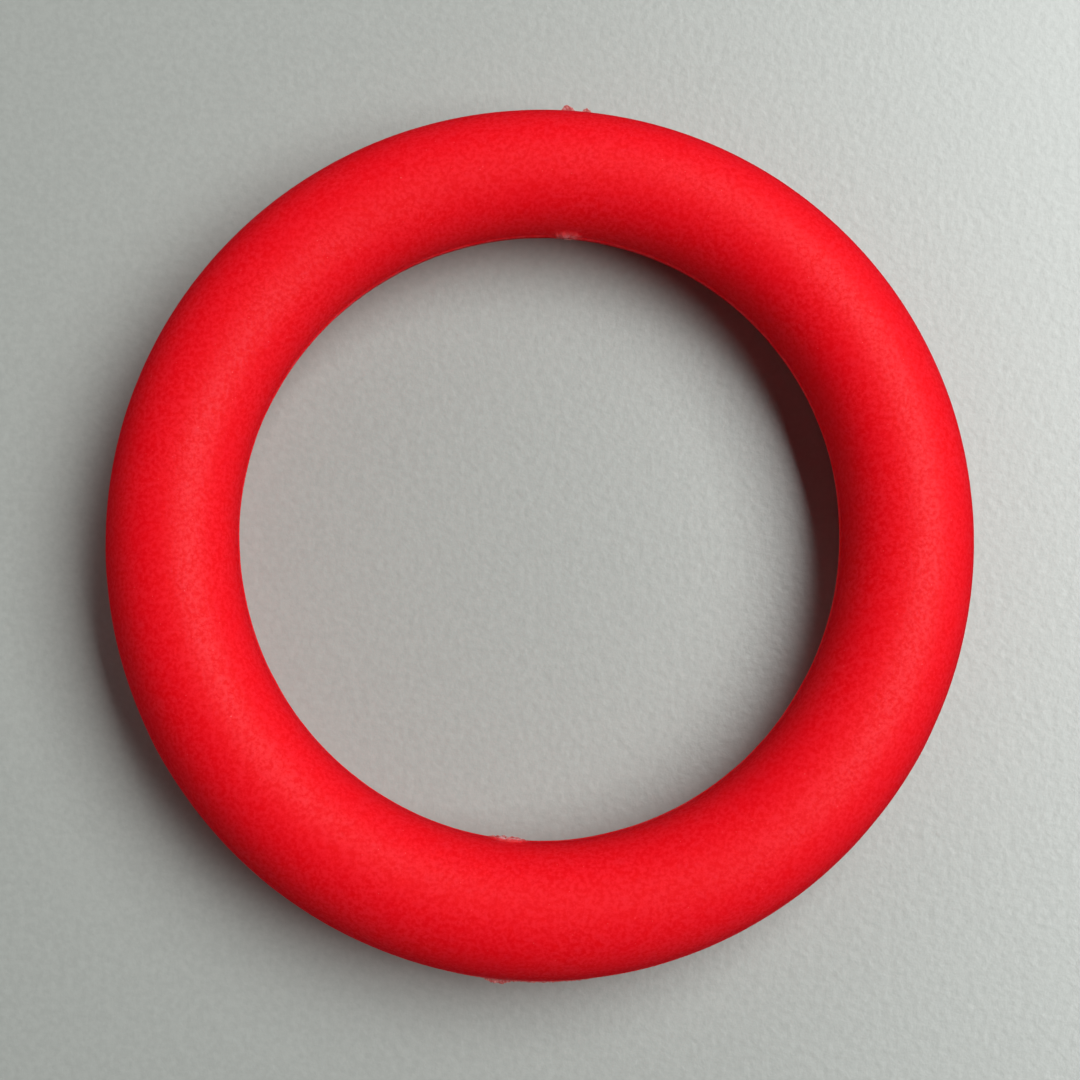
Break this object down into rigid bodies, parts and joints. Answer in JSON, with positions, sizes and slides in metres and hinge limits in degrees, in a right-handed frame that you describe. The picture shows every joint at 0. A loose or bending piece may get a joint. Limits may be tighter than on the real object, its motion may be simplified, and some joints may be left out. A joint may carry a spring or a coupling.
{
  "type": "juggling ring",
  "caption": "Small solid juggling ring of round section, moulded in one piece from soft red elastomer, with a fine parting ridge and torn remnants of mould flash.",
  "frame": {"origin": "centre of the ring's hole, on the plane where the two halves of its mould met; the ring lies on a table at z = -4.9 mm", "axes": "+Z along the ring's own axis, +Y towards the far side of the ring as it lies in front of the viewer, +X to the viewer's right"},
  "size_m": [0.065, 0.0656, 0.0098],
  "materials": {
    "elastomer": "matte",
    "torn_flash": "matte"
  },
  "bodies": {
    "root": {"ring": "elastomer", "outer_flash_far": "torn_flash", "inner_flash_far": "torn_flash", "inner_flash_near": "torn_flash", "outer_flash_near": "torn_flash"}
  },
  "joints": []
}
